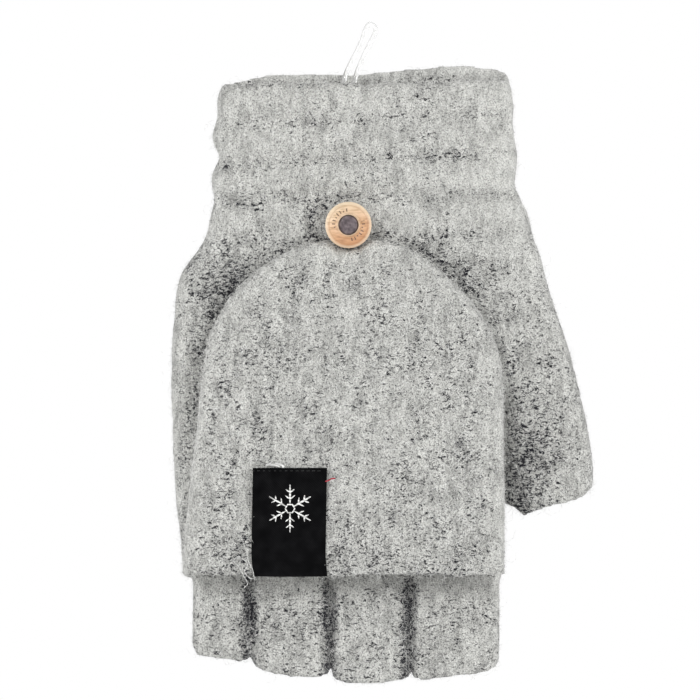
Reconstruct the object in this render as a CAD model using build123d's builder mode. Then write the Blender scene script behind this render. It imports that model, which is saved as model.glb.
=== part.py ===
"""Convertible flip-top mitten, right hand, hanging with its fingers down.

The origin is the centre of the cuff's mouth. +Z points out of the mouth, +X points to the thumb's side,
and -Y is the back of the hand, where the folded-back mitten cap lies. All sizes are in millimetres.
"""

import math
import os

from build123d import *

# Fabric
wall = 2.0  # one layer of felted knit
rim_wall = 1.6  # the cap's side walls, where the knit turns over
rest_gap = 0.35  # between layers that lie against each other on different bodies
sewn_gap = 0.05  # between pieces that are sewn flat together
overrun = 1.0  # how far a cutting shape runs past the face that it opens
round_share = 0.46  # edge radius of a flattened tube, as a share of its thickness

# Cuff
cuff_length = 45.0
cuff_left = 49.0
cuff_right = 47.8
cuff_flare_left = 1.2
cuff_flare_right = 4.0
elastic_rows = 3
elastic_pitch = 12.6
elastic_height = 1.6
elastic_thickness = 0.5

# Fingers: name, width and length from the knuckle line, from the little finger to the index finger
fingers = [
    ("little_sleeve", 20.9, 25.9),
    ("ring_sleeve", 23.8, 31.7),
    ("middle_sleeve", 24.4, 33.6),
    ("index_sleeve", 27.2, 32.0),
]
finger_space = 4.6  # free height inside a sleeve
finger_gap = 1.4  # between neighbouring sleeves
finger_taper = 0.5  # how much each side draws in towards the sleeve's end
first_finger_left = 57.3

# Hand
knuckle_drop = 160.3  # from the cuff's mouth down to the knuckle line
hand_bulge = 62.4  # the little-finger side at its widest
hand_margin = 1.6  # from the outermost sleeves to the hand's sides
web_thickness = 2.0

# Thumb
thumb_drop = 108.5  # from the cuff's mouth down to the crotch of the thumb
thumb_root_width = 25.0
thumb_end_width = 26.0
thumb_slant = 19.0  # degrees between the thumb's open end and the horizontal
thumb_end_lean = 3.3  # how far the thumb's open end stands outside its root
thumb_length = 26.9
thumb_inset = 0.4  # how much nearer the middle the thumb's faces lie than the hand's
thumb_side_gap = 0.5  # between the thumb and the side of the hand
thumb_joint_gap = 0.1

# Cap
cap_radius = 48.5  # of its round tip
cap_centre_x = -4.65
cap_length = 108.2  # from the hinge line to the tip
cap_hem_spread_left = 5.85  # how much wider the hem is than the round tip
cap_hem_spread_right = 1.05
cap_puff = 0.3  # how far the front layer swells over a straight line from hem to full depth
cap_puff_height = 40.0
cap_edge_round = 2.2
hem_lift = 0.8  # how far the front layer's hem stays back from the knuckle line
dent_gap = 0.4  # between the button and the dent in the cap's tip that it sits in
dent_round = 3.2
label_space = 0.9  # free room left for the label's turned-in end when the fingers are inside the cap

# Button, its thread and the elastic loop
button_radius = 7.4
button_thickness = 4.0
button_x = -5.3
button_drop = 47.7
button_recess_radius = 3.25
button_recess_depth = 2.4
inlay_thickness = 1.1
boss_radius = 2.4
boss_height = 1.2
shank_radius = 1.3
shank_gap = 0.1
knot_radius = 2.2
knot_height = 0.9
loop_cord_radius = 0.55
loop_slack = 0.35
loop_tail = 5.0
loop_hole_gap = 0.05
tack_width = 8.0
tack_height = 1.4
tack_depth = 1.4
tack_shift = 0.2  # how far the tack's middle stands in front of the loop's
tip_space = 1.3  # room between the layers at the cap's tip, where the loop is sewn in

# Label
label_width = 25.0
label_length = 35.0
label_thickness = 0.35
label_left = -37.2
label_stand = 0.75  # how far the label's flat back stands in front of the hem
label_turn_in = 10.0
stitch_inset = 1.5
stitch_width = 0.45

# Clear hang loop and the pin that holds it to the cuff
strand_radius = 0.8
hang_x = -5.7
hang_pin_drop = 9.0
hang_reach = 17.3
hang_lean = 7.6
hang_eye = 1.5  # half the width of the loop at its end
hang_spread = 1.45  # each strand's distance from the middle of the loop at the pin
hang_pin_radius = 0.6
hang_head_radius = 2.0
hang_head_thickness = 0.8
hang_gap = 0.1

# Sizes that follow
finger_thickness = finger_space + 2 * wall
hinge_y = -(finger_thickness / 2 + rest_gap + wall + rest_gap)
seam_radius = 0.3
back_y = hinge_y + rest_gap + sewn_gap  # the back of the hand
hand_thickness = -2 * back_y
hand_right = sum(width for _, width, _ in fingers) + 3 * finger_gap - first_finger_left + hand_margin / 2
knuckle_left = first_finger_left + hand_margin
thumb_thickness = hand_thickness - 2 * thumb_inset
thumb_root_left = hand_right + thumb_side_gap
thumb_root_right = thumb_root_left + thumb_root_width

cap_back_y = hinge_y - rest_gap  # the face that lies towards the hand
cap_layer_y = cap_back_y - wall  # where the back layer ends and the front layer starts
cap_hem_depth = rest_gap + finger_thickness + label_space + 2 * wall
cap_tip_depth = 2 * wall + tip_space
cap_hem_z = -knuckle_drop + hem_lift
cap_side_z = -knuckle_drop + cap_length - cap_radius
cap_tip_z = -knuckle_drop + cap_length

button_z = -button_drop
loop_y = cap_layer_y - tip_space / 2
loop_arc_radius = shank_radius + loop_slack + loop_cord_radius
loop_legs = (button_x - loop_arc_radius, button_x + loop_arc_radius)
dent_radius = button_radius + dent_gap
dent_z = button_z - dent_radius
button_back_y = loop_y - loop_cord_radius - rest_gap - boss_height
shank_pivot_y = back_y - shank_radius - shank_gap

os.makedirs("parts", exist_ok=True)


def finish(shape, name):
    """Labels a finished piece and writes it to its own file."""
    shape.label = name
    export_step(shape, f"parts/{name}.step")
    print(name, round(shape.volume, 1))


def flat_section(z, left, right, thickness):
    """A rounded rectangle across a flattened tube, at height z."""
    with BuildSketch(Plane.XY.offset(z)) as section:
        with Locations(((left + right) / 2, 0)):
            RectangleRounded(right - left, thickness, thickness * round_share)
    return section.sketch


def cuff_form(inset, top, bottom):
    """The cuff's outer form drawn in by inset, from height top to height bottom."""
    sections = []
    for z in (top, bottom):
        share = -z / cuff_length
        left = -cuff_left - share * cuff_flare_left + inset
        right = cuff_right + share * cuff_flare_right - inset
        sections.append(flat_section(z, left, right, hand_thickness - 2 * inset))
    with BuildPart() as form:
        loft(sections=sections)
    return form.part


def hand_form(inset, past_ends):
    """The hand's outer form without the thumb, drawn in by inset, and run past_ends beyond both open ends."""
    top = -cuff_length
    middle = (cap_side_z - cuff_length) / 2
    left_side = [
        (-cuff_left - cuff_flare_left, top),
        (-cuff_left - 3 * cuff_flare_left, top - 9),
        (-hand_bulge + 2, top - 22),
        (-hand_bulge, top - 43),
        (-hand_bulge, -knuckle_drop + 46),
        (-(hand_bulge + knuckle_left) / 2, -knuckle_drop + 18),
        (-knuckle_left, -knuckle_drop),
    ]
    right_side = [
        (hand_right, -knuckle_drop),
        (hand_right, -thumb_drop),
        (cuff_right, middle),
        (cuff_right + cuff_flare_right, top),
    ]
    if past_ends:
        left_side.insert(0, (left_side[0][0] + 0.1, top + past_ends))
        left_side.append((left_side[-1][0] + 0.1, -knuckle_drop - past_ends))
        right_side.insert(0, (hand_right, -knuckle_drop - past_ends))
        right_side.append((right_side[-1][0] + 0.2, top + past_ends))
    left_side = [(x + inset, z) for x, z in left_side]
    right_side = [(x - inset, z) for x, z in right_side]
    thickness = hand_thickness - 2 * inset
    with BuildPart() as form:
        with BuildSketch(Plane.XZ):
            with BuildLine():
                Spline(*left_side)
                Spline(*right_side)
                Line(left_side[-1], right_side[0])
                Line(left_side[0], right_side[-1])
            make_face()
        extrude(amount=thickness / 2, both=True)
        sides = form.faces().filter_by(lambda face: abs(face.normal_at().X) > 0.5).edges()
        rims = sides.filter_by(lambda side: abs((side @ 0.5).Y) > thickness / 2 - 0.01)
        fillet(rims, thickness * round_share)
    return form.part


def thumb_branch(inset, past_end):
    """The swelling that leads from the wrist to the thumb's root, drawn in by inset."""
    thickness = thumb_thickness - 2 * inset
    start_right = cuff_right + cuff_flare_right - hand_margin
    stations = [
        (-cuff_length - 4, thumb_root_left - 8, start_right),
        (-cuff_length - 20, thumb_root_left - 5, start_right + 0.42 * (thumb_root_right - start_right)),
        (-cuff_length - 43, thumb_root_left - 2, start_right + 0.74 * (thumb_root_right - start_right)),
        (-thumb_drop, thumb_root_left, thumb_root_right),
    ]
    if past_end:
        stations.append((-thumb_drop - past_end, thumb_root_left, thumb_root_right))
    sections = [flat_section(z, left + inset, right - inset, thickness) for z, left, right in stations]
    with BuildPart() as branch:
        loft(sections=sections, ruled=True)
    return branch.part


def sleeve(left, right, top, length, thickness, inset, past_ends):
    """A finger sleeve's form, drawn in by inset and lengthened by past_ends at both ends."""
    with BuildPart() as form:
        loft(
            sections=[
                flat_section(top + past_ends, left + inset, right - inset, thickness - 2 * inset),
                flat_section(
                    top - length - past_ends,
                    left + finger_taper + inset,
                    right - finger_taper - inset,
                    thickness - 2 * inset,
                ),
            ]
        )
    return form.part


# Cuff, open at both ends, and the elastic rings that gather it
with BuildPart() as cuff:
    add(cuff_form(0, 0, -cuff_length))
    add(cuff_form(wall, overrun, -cuff_length - overrun), mode=Mode.SUBTRACT)
finish(cuff.part, "cuff")

for row in range(1, elastic_rows + 1):
    row_top = -row * elastic_pitch + elastic_height / 2
    row_bottom = row_top - elastic_height
    with BuildPart() as cuff_elastic:
        add(cuff_form(wall + sewn_gap, row_top, row_bottom))
        add(
            cuff_form(wall + sewn_gap + elastic_thickness, row_top + overrun, row_bottom - overrun),
            mode=Mode.SUBTRACT,
        )
    finish(cuff_elastic.part, f"cuff_elastic_{row}")

# Hand, with an open branch for the thumb
hand_cavity = hand_form(wall, overrun)
with BuildPart() as hand_body:
    add(hand_form(0, 0))
    add(thumb_branch(0, 0))
    add(hand_cavity, mode=Mode.SUBTRACT)
    add(thumb_branch(wall, overrun), mode=Mode.SUBTRACT)
finish(hand_body.part, "hand_body")

# Finger sleeves, and the web that joins them between the hand's layers
sleeve_edges = []
edge = -first_finger_left
for name, width, length in fingers:
    sleeve_edges.append((name, edge, edge + width, length))
    edge += width + finger_gap

with BuildPart() as knuckle_web:
    add(hand_form(wall + sewn_gap, overrun))
    with BuildSketch(Plane.XY.offset(-knuckle_drop)):
        Rectangle(4 * hand_bulge, 2 * hand_thickness)
    extrude(amount=web_thickness, mode=Mode.INTERSECT)
    for name, left, right, length in sleeve_edges:
        with BuildSketch(Plane.XY.offset(-knuckle_drop - overrun)):
            with Locations(((left + right) / 2, 0)):
                RectangleRounded(right - left - 2 * wall, finger_space, finger_space * round_share)
        extrude(amount=web_thickness + 2 * overrun, mode=Mode.SUBTRACT)
finish(knuckle_web.part, "knuckle_web")

for name, left, right, length in sleeve_edges:
    with BuildPart() as finger_sleeve:
        add(sleeve(left, right, -knuckle_drop, length, finger_thickness, 0, 0))
        add(
            sleeve(left, right, -knuckle_drop, length, finger_thickness, wall, overrun),
            mode=Mode.SUBTRACT,
        )
    finish(finger_sleeve.part, name)

# Thumb sleeve, from the open branch of the hand to its slanted end
thumb_end_centre = (
    (thumb_root_left + thumb_root_right) / 2 + thumb_end_lean,
    0,
    -thumb_drop - thumb_length,
)
slant = math.radians(thumb_slant)
thumb_end_plane = Plane(
    origin=thumb_end_centre,
    x_dir=(math.cos(slant), 0, math.sin(slant)),
    z_dir=(-math.sin(slant), 0, math.cos(slant)),
)


def thumb_form(inset, past_ends):
    """The thumb sleeve's form, drawn in by inset and lengthened by past_ends at both ends."""
    with BuildSketch(thumb_end_plane.offset(-past_ends)) as end:
        RectangleRounded(
            thumb_end_width - 2 * inset,
            thumb_thickness - 2 * inset,
            (thumb_thickness - 2 * inset) * round_share,
        )
    root = flat_section(
        -thumb_drop - thumb_joint_gap + past_ends,
        thumb_root_left + inset,
        thumb_root_right - inset,
        thumb_thickness - 2 * inset,
    )
    with BuildPart() as form:
        loft(sections=[root, end.sketch])
    return form.part


with BuildPart() as thumb_sleeve:
    add(thumb_form(0, 0))
    add(thumb_form(wall, overrun), mode=Mode.SUBTRACT)
finish(thumb_sleeve.part, "thumb_sleeve")


def cap_outline(plane, inset, bottom):
    """The cap's outline with its dent for the button, drawn in by inset, and its straight edge at bottom."""
    radius = cap_radius - inset
    left = cap_centre_x - radius
    right = cap_centre_x + radius
    with BuildSketch(plane) as outline:
        with BuildLine():
            Line((left - cap_hem_spread_left, bottom), (left, cap_side_z))
            ThreePointArc((left, cap_side_z), (cap_centre_x, cap_side_z + radius), (right, cap_side_z))
            Line((right, cap_side_z), (right + cap_hem_spread_right, bottom))
            Line((right + cap_hem_spread_right, bottom), (left - cap_hem_spread_left, bottom))
        make_face()
        with Locations((button_x, button_z)):
            Circle(dent_radius + inset, mode=Mode.SUBTRACT)
        fillet(outline.vertices().filter_by(lambda corner: corner.Y > dent_z), dent_round)
    return outline.sketch


def cap_swell(inset):
    """The front layer seen from the side, drawn in by inset and run on below the hem."""
    bottom = cap_hem_z - 2 * overrun
    hem = (cap_back_y - cap_hem_depth + inset, cap_hem_z)
    full = (cap_back_y - cap_hem_depth - cap_puff + inset, cap_hem_z + cap_puff_height)
    tip = (cap_back_y - cap_tip_depth + inset, cap_tip_z)
    with BuildSketch(Plane.YZ) as swell:
        with BuildLine():
            ThreePointArc(hem, full, tip)
            Polyline(tip, (cap_layer_y, cap_tip_z), (cap_layer_y, bottom), (hem[0], bottom), hem)
        make_face()
    return swell.sketch


def cap_form(inset, outline_inset, bottom):
    """The front layer's form: its outline, cut to the swell of its side view."""
    with BuildPart() as form:
        outline = cap_outline(Plane.XZ.offset(-cap_layer_y), outline_inset, bottom)
        extrude(outline, amount=2 * cap_hem_depth, dir=(0, -1, 0))
        extrude(cap_swell(inset), amount=2 * cap_radius, dir=(1, 0, 0), both=True, mode=Mode.INTERSECT)
    return form.part


# Cap: a flat layer towards the hand, and a swollen front layer with its side walls
with BuildPart() as cap_back_layer:
    outline = cap_outline(Plane.XZ.offset(-cap_back_y), 0, -knuckle_drop + rest_gap)
    extrude(outline, amount=wall, dir=(0, -1, 0))
finish(cap_back_layer.part, "cap_back_layer")

with BuildPart() as cap_front_layer:
    add(cap_form(0, 0, cap_hem_z))
    front = cap_front_layer.faces().sort_by(Axis.Y)[0]
    fillet(front.edges().filter_by(lambda side: (side @ 0.5).Z > cap_hem_z + 1), cap_edge_round)
    add(cap_form(wall, rim_wall, cap_hem_z - overrun), mode=Mode.SUBTRACT)
    for leg_x in loop_legs:
        with BuildSketch(Plane.XY.offset(dent_z - loop_tail)):
            with Locations((leg_x, loop_y)):
                Circle(loop_cord_radius + loop_hole_gap)
        extrude(amount=2 * loop_tail, mode=Mode.SUBTRACT)
finish(cap_front_layer.part, "cap_front_layer")

# Seam roll on the hinge line, which joins the cap's back layer to the hand
with BuildPart() as knuckle_seam:
    with BuildSketch(Plane.YZ.offset(-knuckle_left + hand_margin)):
        with Locations((hinge_y, -knuckle_drop)):
            Circle(seam_radius)
    extrude(amount=knuckle_left + hand_right - 2 * hand_margin)
finish(knuckle_seam.part, "knuckle_seam")

# Elastic loop round the button's thread, with its ends sewn in between the cap's layers
with BuildPart() as button_loop:
    with BuildLine(Plane.XZ.offset(-loop_y)):
        leg_bottom = dent_z - loop_tail
        Line((loop_legs[0], leg_bottom), (loop_legs[0], button_z))
        ThreePointArc(
            (loop_legs[0], button_z), (button_x, button_z + loop_arc_radius), (loop_legs[1], button_z)
        )
        Line((loop_legs[1], button_z), (loop_legs[1], leg_bottom))
    with BuildSketch(Plane.XY.offset(leg_bottom)):
        with Locations((loop_legs[0], loop_y)):
            Circle(loop_cord_radius)
    sweep()
finish(button_loop.part, "button_loop")

with BuildPart() as loop_tack:
    with BuildSketch(Plane.XY.offset(leg_bottom)):
        with Locations((button_x, loop_y - tack_shift)):
            Rectangle(tack_width, tack_depth)
        with Locations((loop_legs[0], loop_y), (loop_legs[1], loop_y)):
            Circle(loop_cord_radius + loop_hole_gap, mode=Mode.SUBTRACT)
    extrude(amount=tack_height)
finish(loop_tack.part, "loop_tack")

# Button: a turned wooden ring with a bored boss behind it for the thread, and a dark inlay in front
button_axis = Axis((button_x, 0, button_z), (0, 1, 0))
button_plane = Plane(origin=(button_x, 0, button_z), x_dir=(1, 0, 0), z_dir=(0, 0, 1))
button_front_y = button_back_y - button_thickness
boss_y = button_back_y + boss_height
recess_y = button_front_y + button_recess_depth
crown = 1.1  # how far the ring's crown stands over its edges
edge_bevel = 1.0

with BuildPart() as button_ring:
    with BuildSketch(button_plane):
        with BuildLine():
            Polyline(
                (0, button_back_y),
                (shank_radius + shank_gap, button_back_y),
                (shank_radius + shank_gap, boss_y),
                (boss_radius, boss_y),
                (boss_radius, button_back_y),
                (button_radius - edge_bevel, button_back_y),
                (button_radius, button_back_y - edge_bevel),
                (button_radius, button_front_y + crown),
            )
            ThreePointArc(
                (button_radius, button_front_y + crown),
                ((button_radius + button_recess_radius) / 2, button_front_y),
                (button_recess_radius, button_front_y + crown),
            )
            Polyline(
                (button_recess_radius, button_front_y + crown),
                (button_recess_radius, recess_y),
                (0, recess_y),
                (0, button_back_y),
            )
        make_face()
    revolve(axis=button_axis)
finish(button_ring.part, "button_ring")

with BuildPart() as button_inlay:
    with BuildSketch(Plane.XZ.offset(-(recess_y - sewn_gap))):
        with Locations((button_x, button_z)):
            Circle(button_recess_radius - sewn_gap)
    extrude(amount=inlay_thickness)
    fillet(button_inlay.faces().sort_by(Axis.Y)[0].edges(), inlay_thickness * 0.8)
finish(button_inlay.part, "button_inlay")

# Thread shank, which turns on its round foot and ends inside the boss, and the knot inside the hand
with BuildPart() as shank_thread:
    with Locations((button_x, shank_pivot_y, button_z)):
        Sphere(shank_radius)
    with BuildSketch(Plane.XZ.offset(-shank_pivot_y)):
        with Locations((button_x, button_z)):
            Circle(shank_radius)
    extrude(amount=shank_pivot_y - button_back_y - shank_gap)
finish(shank_thread.part, "shank_thread")

with BuildPart() as thread_knot:
    with BuildSketch(Plane.XZ.offset(-(back_y + wall + sewn_gap))):
        with Locations((button_x, button_z)):
            Circle(knot_radius)
    extrude(amount=-knot_height)
    fillet(thread_knot.faces().sort_by(Axis.Y)[-1].edges(), knot_height / 2)
finish(thread_knot.part, "thread_knot")

# Label, folded over the cap's hem, and the stitching along its upper edge
label_back_y = cap_back_y - cap_hem_depth - label_stand
with BuildPart() as label:
    with BuildSketch(Plane.YZ.offset(label_left)):
        with BuildLine():
            outer_y = label_back_y - label_thickness
            inner_y = cap_back_y - cap_hem_depth + wall + sewn_gap
            fold_z = cap_hem_z - sewn_gap
            Polyline(
                (outer_y, fold_z - label_thickness),
                (outer_y, fold_z + label_length),
                (label_back_y, fold_z + label_length),
                (label_back_y, fold_z),
                (inner_y, fold_z),
                (inner_y, fold_z + label_turn_in),
                (inner_y + label_thickness, fold_z + label_turn_in),
                (inner_y + label_thickness, fold_z - label_thickness),
                close=True,
            )
        make_face()
    extrude(amount=label_width)
finish(label.part, "label")

with BuildPart() as label_stitching:
    with BuildSketch(Plane.XZ.offset(-(outer_y - sewn_gap))):
        with Locations((label_left + label_width / 2, cap_hem_z + label_length - 2 * stitch_width)):
            SlotOverall(label_width - 2 * stitch_inset, stitch_width)
    extrude(amount=stitch_width / 2)
finish(label_stitching.part, "label_stitching")

# Clear hang loop: a hairpin of round nylon, with an eye that turns on a headed pin through the cuff
strand_y = back_y + wall + hang_gap + strand_radius
hang_z = -hang_pin_drop
hang_height = hang_reach + hang_pin_drop
with BuildPart() as hang_loop:
    with BuildLine(Plane.XZ.offset(-strand_y)):
        Spline(
            (hang_x - hang_spread, hang_z),
            (hang_x - hang_spread + 0.7, hang_z + 0.35 * hang_height),
            (hang_x + hang_lean - 2.4, hang_z + hang_height - 4),
            (hang_x + hang_lean - hang_eye, hang_z + hang_height - hang_eye),
            (hang_x + hang_lean, hang_z + hang_height),
            (hang_x + hang_lean + hang_eye, hang_z + hang_height - hang_eye),
            (hang_x + hang_lean + 0.9, hang_z + hang_height - 4),
            (hang_x + hang_spread + 1.2, hang_z + 0.35 * hang_height),
            (hang_x + hang_spread, hang_z),
        )
    with BuildSketch(Plane.XY.offset(hang_z)):
        with Locations((hang_x - hang_spread, strand_y)):
            Circle(strand_radius)
    sweep()
    with BuildSketch(Plane.XZ.offset(-(strand_y + strand_radius))):
        with Locations((hang_x, hang_z)):
            Circle(hang_spread + strand_radius)
    extrude(amount=2 * strand_radius)
    with BuildSketch(Plane.XZ.offset(-(strand_y + 2 * strand_radius))):
        with Locations((hang_x, hang_z)):
            Circle(hang_pin_radius + hang_gap / 2)
    extrude(amount=4 * strand_radius, mode=Mode.SUBTRACT)
finish(hang_loop.part, "hang_loop")

with BuildPart() as hang_pin:
    head_y = strand_y + strand_radius + hang_gap
    with BuildSketch(Plane.XZ.offset(-head_y)):
        with Locations((hang_x, hang_z)):
            Circle(hang_head_radius)
    extrude(amount=-hang_head_thickness)
    with BuildSketch(Plane.XZ.offset(-head_y)):
        with Locations((hang_x, hang_z)):
            Circle(hang_pin_radius)
    extrude(amount=head_y - (back_y + wall) - sewn_gap)
finish(hang_pin.part, "hang_pin")
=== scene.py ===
import math

import bmesh
import bpy
import numpy as np
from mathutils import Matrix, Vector


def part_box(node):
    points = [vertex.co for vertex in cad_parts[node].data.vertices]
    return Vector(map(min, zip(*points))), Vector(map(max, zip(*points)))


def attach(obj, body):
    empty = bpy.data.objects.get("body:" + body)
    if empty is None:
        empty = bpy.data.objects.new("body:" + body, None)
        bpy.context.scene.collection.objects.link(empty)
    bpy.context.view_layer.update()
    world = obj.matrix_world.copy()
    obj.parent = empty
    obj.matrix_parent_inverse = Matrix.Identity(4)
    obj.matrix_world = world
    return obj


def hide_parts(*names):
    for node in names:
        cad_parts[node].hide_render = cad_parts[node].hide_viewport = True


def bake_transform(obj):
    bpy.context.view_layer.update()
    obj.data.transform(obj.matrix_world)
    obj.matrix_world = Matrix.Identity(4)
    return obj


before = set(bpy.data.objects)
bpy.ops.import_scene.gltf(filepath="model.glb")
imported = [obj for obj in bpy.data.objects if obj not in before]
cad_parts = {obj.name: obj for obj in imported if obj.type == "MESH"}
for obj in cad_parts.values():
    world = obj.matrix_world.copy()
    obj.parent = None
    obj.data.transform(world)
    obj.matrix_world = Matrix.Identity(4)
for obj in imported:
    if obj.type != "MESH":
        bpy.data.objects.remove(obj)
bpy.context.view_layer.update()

MM = 0.001
SEED = 11
HALF_TURN, FULL_TURN = 3.1416, 6.283  # angles in the shader and fibre trees


def node_box(name):
    """A CAD node's lowest and highest corners, in millimetres."""
    low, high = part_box(name)
    return np.array(low) / MM, np.array(high) / MM


# ---------------------------------------------------------------- where the pieces go
hand_low, hand_high = node_box("hand_body")
cap_low, cap_high = node_box("cap_front_layer")
back_low, back_high = node_box("cap_back_layer")
ring_low, ring_high = node_box("button_ring")
label_low, label_high = node_box("label")
seam_low, seam_high = node_box("knuckle_seam")

KNUCKLES = hand_low[2]
BUTTON_X = (ring_low[0] + ring_high[0]) / 2
BUTTON_Z = (ring_low[2] + ring_high[2]) / 2
BUTTON_RADIUS = (ring_high[0] - ring_low[0]) / 2
HINGE_Y = (seam_low[1] + seam_high[1]) / 2
CAP_BACK = back_high[1]
WALL = back_high[1] - back_low[1]
HAND_HALF = hand_high[1] - 0.15  # half the hand's thickness, less its fluff


# ---------------------------------------------------------------- camera, light and floor
VIEW_MIDDLE = (-0.0048, -0.014, -0.0877)  # metres, as everything in this section
VIEW_WIDTH = 0.224
VIEW_DISTANCE = 1.7
SENSOR_WIDTH = 36
WHITE_ROOM, SOFT_ROOM = 1.0, 0.425
FLOOR_RADIUS, FLOOR_HEIGHT, FLOOR_CORNERS = 1.3, -0.30, 64
LIGHTS = (  # name, place, target, diameter, power
    ("key", (-0.6, -1.4, 0.42), (0, 0, -0.09), 0.5, 8.4),
    ("fill", (0.9, -1.2, 0.35), (0, 0, -0.1), 0.9, 8.0),
    ("low", (0.1, -1.3, -0.85), (0, 0, -0.12), 0.8, 7.4),
    ("back", (0.1, 1.4, 0.6), (0, 0, -0.1), 0.9, 8.0),
    ("left_side", (-1.3, -0.1, 0.0), (0, 0, -0.09), 0.8, 4.5),
    ("right_side", (1.3, -0.1, 0.0), (0, 0, -0.09), 0.8, 4.0),
)


def make_camera():
    data = bpy.data.cameras.new("camera")
    camera = bpy.data.objects.new("camera", data)
    bpy.context.scene.collection.objects.link(camera)
    x, y, z = VIEW_MIDDLE
    camera.location = (x, y - VIEW_DISTANCE, z)
    camera.rotation_euler = (math.radians(90), 0, 0)
    data.sensor_width = SENSOR_WIDTH
    data.lens = SENSOR_WIDTH * VIEW_DISTANCE / VIEW_WIDTH
    data.clip_end = 20
    bpy.context.scene.camera = camera


def make_light(name, place, target, diameter, power):
    data = bpy.data.lights.new(name, "AREA")
    data.shape = "DISK"
    data.size = diameter
    data.energy = power
    light = bpy.data.objects.new(name, data)
    bpy.context.scene.collection.objects.link(light)
    light.location = place
    direction = Vector(target) - light.location
    light.rotation_euler = direction.to_track_quat("-Z", "Y").to_euler()


def make_world():
    """A room that lights softly but is white to the camera and through the clear nylon."""
    world = bpy.data.worlds.new("studio")
    bpy.context.scene.world = world
    world.use_nodes = True
    tree = world.node_tree
    tree.nodes.clear()
    out = tree.nodes.new("ShaderNodeOutputWorld")
    mix = tree.nodes.new("ShaderNodeMixShader")
    path = tree.nodes.new("ShaderNodeLightPath")
    seen = tree.nodes.new("ShaderNodeMath")
    seen.operation = "MAXIMUM"
    tree.links.new(path.outputs["Is Camera Ray"], seen.inputs[0])
    tree.links.new(path.outputs["Is Transmission Ray"], seen.inputs[1])
    tree.links.new(seen.outputs[0], mix.inputs["Fac"])
    for socket, strength in ((1, SOFT_ROOM), (2, WHITE_ROOM)):
        room = tree.nodes.new("ShaderNodeBackground")
        room.inputs["Strength"].default_value = strength
        room.inputs["Color"].default_value = (1, 1, 1, 1)
        tree.links.new(room.outputs[0], mix.inputs[socket])
    tree.links.new(mix.outputs[0], out.inputs["Surface"])
    bpy.context.scene.view_settings.view_transform = "Standard"


def make_floor():
    mesh = bpy.data.meshes.new("floor")
    angles = [2 * math.pi * i / FLOOR_CORNERS for i in range(FLOOR_CORNERS)]
    ring = [(FLOOR_RADIUS * math.cos(a), FLOOR_RADIUS * math.sin(a), FLOOR_HEIGHT) for a in angles]
    mesh.from_pydata(ring, [], [list(range(FLOOR_CORNERS))])
    floor = bpy.data.objects.new("floor", mesh)
    bpy.context.scene.collection.objects.link(floor)
    material = bpy.data.materials.new("floor")
    material.use_nodes = True
    surface = material.node_tree.nodes["Principled BSDF"]
    surface.inputs["Base Color"].default_value = (0.93, 0.93, 0.93, 1)
    surface.inputs["Roughness"].default_value = 0.9
    mesh.materials.append(material)


make_camera()
make_world()
make_floor()
for light in LIGHTS:
    make_light(*light)


# ---------------------------------------------------------------- shapes as distance fields
def outline_distance(x, z, points):
    """Signed distance to a closed outline, negative inside."""
    points = np.asarray(points, float)
    ends = np.roll(points, -1, axis=0)
    nearest = np.full(x.shape, 1e9)
    inside = np.zeros(x.shape, bool)
    for (ax, az), (bx, bz) in zip(points, ends):
        ex, ez = bx - ax, bz - az
        t = np.clip(((x - ax) * ex + (z - az) * ez) / (ex * ex + ez * ez + 1e-12), 0, 1)
        nearest = np.minimum(nearest, (x - ax - t * ex) ** 2 + (z - az - t * ez) ** 2)
        crosses = (az > z) != (bz > z)
        inside ^= crosses & (x < ax + (z - az) * ex / (ez if abs(ez) > 1e-9 else 1e-9))
    return np.where(inside, -1, 1) * np.sqrt(nearest)


def soft_min(a, b, k):
    """The smaller of two fields, with a fillet of size k where they meet."""
    h = np.clip(0.5 + 0.5 * (b - a) / k, 0, 1)
    return b + (a - b) * h - k * h * (1 - h)


def soft_max(a, b, k):
    return -soft_min(-a, -b, k)


def rounded(a, b, radius):
    """Distance to a rounded corner, from the distances to its two sides moved in by the radius."""
    return np.sqrt(np.maximum(a, 0) ** 2 + np.maximum(b, 0) ** 2) + np.minimum(np.maximum(a, b), 0) - radius


def tube(flat, y, half, inset=0.0, roundness=0.94):
    """A flattened tube: a flat outline given the thickness 2 * half, with fully rounded sides."""
    half = half - inset
    radius = half * roundness
    return rounded(flat + inset + radius, np.abs(y) - (half - radius), radius)


def smooth_outline(points, rounds=2):
    """Chaikin's corner cutting on an open line."""
    points = np.asarray(points, float)
    for _ in range(rounds):
        a, b = points[:-1], points[1:]
        cut = np.empty((2 * len(a), 2))
        cut[0::2] = 0.75 * a + 0.25 * b
        cut[1::2] = 0.25 * a + 0.75 * b
        points = np.vstack([points[:1], cut, points[-1:]])
    return points


AXIS_PRIMES = (73856093, 19349663, 83492791)
LOW_32_BITS = 0xFFFFFFFF


def lumps(points, size, seed):
    """Smooth noise from -1 to 1 with lumps of the given size."""
    p = points / size + 1000.0
    cell = np.floor(p).astype(np.int64)
    f = p - cell
    f = f * f * (3 - 2 * f)
    total = np.zeros(len(p))
    for corner in np.ndindex(2, 2, 2):
        x, y, z = ((cell[:, i] + corner[i]) * AXIS_PRIMES[i] for i in range(3))
        n = ((x ^ y ^ z) ^ (seed * 2654435761)) & LOW_32_BITS
        n = (n ^ (n >> 15)) * 2246822519 & LOW_32_BITS
        n = (n ^ (n >> 13)) * 3266489917 & LOW_32_BITS
        value = ((n ^ (n >> 16)) & 0xFFFF) / 32767.5 - 1
        x, y, z = (f[:, i] if corner[i] else 1 - f[:, i] for i in range(3))
        total += value * (x * y) * z
    return total


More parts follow.
